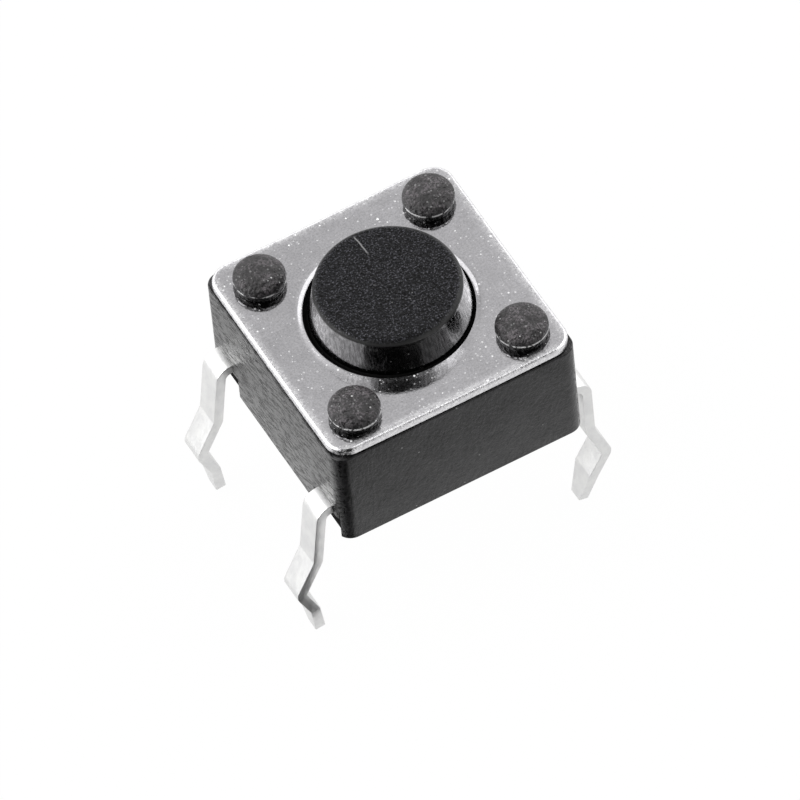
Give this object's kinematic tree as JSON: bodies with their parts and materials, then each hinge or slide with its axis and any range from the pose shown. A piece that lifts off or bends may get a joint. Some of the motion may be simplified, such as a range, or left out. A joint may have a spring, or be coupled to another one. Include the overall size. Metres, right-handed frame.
{
  "type": "tactile push button switch",
  "caption": "Small square through-hole push button switch with a round button, a staked metal cover and kinked snap-in legs.",
  "frame": {"origin": "centre of the moulding's underside, which seats on a circuit board", "axes": "+Z towards the button, X through the two walls that the legs leave, Y along those walls"},
  "size_m": [0.0079, 0.006, 0.0071],
  "materials": {
    "moulding": "fine-grained moulded black nylon",
    "cover_sheet": "bright rolled steel sheet with a few specks",
    "button": "fine-grained matte top, smoother side",
    "spring_sheet": "thin stainless spring sheet",
    "terminal": "satin white tin plate"
  },
  "bodies": {
    "housing": {"base": "moulding", "cover": "cover_sheet", "contact_dome": "spring_sheet", "outer_terminal": "terminal", "centre_terminal": "terminal"},
    "button": {"plunger": "button"}
  },
  "joints": [
    {"name": "button_press", "type": "slide", "parent": "housing", "child": "button", "axis": [0, 0, -1], "range_m": [0, 0.00025], "stiffness_N_per_m": 6000, "deforming": ["contact_dome"]}
  ]
}
